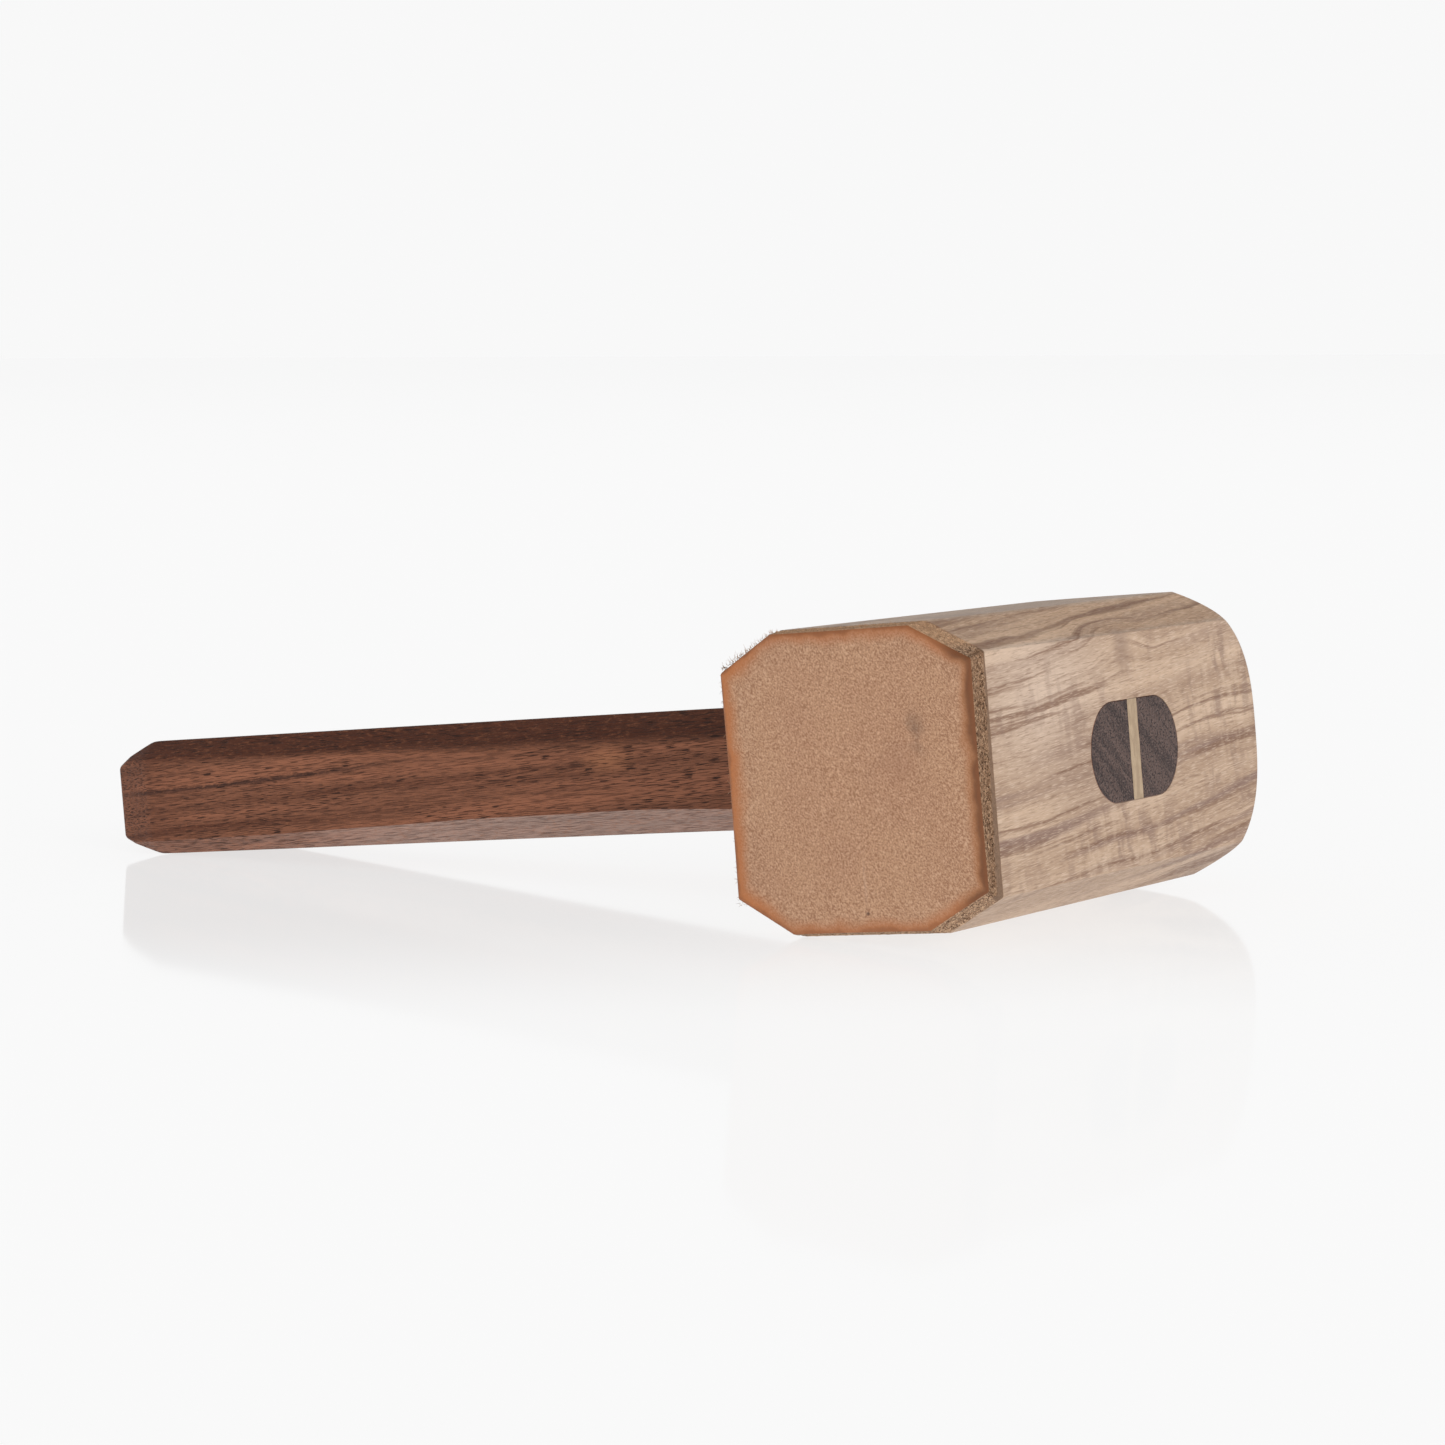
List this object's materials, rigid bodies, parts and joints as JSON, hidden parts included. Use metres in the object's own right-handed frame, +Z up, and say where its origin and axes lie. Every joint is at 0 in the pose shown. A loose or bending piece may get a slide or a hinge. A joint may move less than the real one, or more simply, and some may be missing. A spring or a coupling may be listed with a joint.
{
  "type": "joiner's mallet",
  "caption": "Wooden joiner's mallet lying on its side: an eight-sided maple head with a leather striking pad and a domed end, on a wedged walnut handle.",
  "frame": {"origin": "on the surface the mallet lies on, under the middle of its bounding box", "axes": "+Z up; the handle runs towards -X and dips slightly, so that its butt and the head's lower handle-side edge touch the surface; the leather striking face looks towards -Y"},
  "size_m": [0.2708, 0.141, 0.0669],
  "materials": {
    "head_maple": "oiled curly maple, satin",
    "leather": "vegetable-tanned leather, matt, with a fibrous cut edge",
    "handle_walnut": "oiled walnut, satin",
    "wedge_maple": "pale maple, satin"
  },
  "bodies": {
    "root": {"head": "head_maple", "leather_pad": "leather", "handle": "handle_walnut", "wedge": "wedge_maple"}
  },
  "joints": []
}
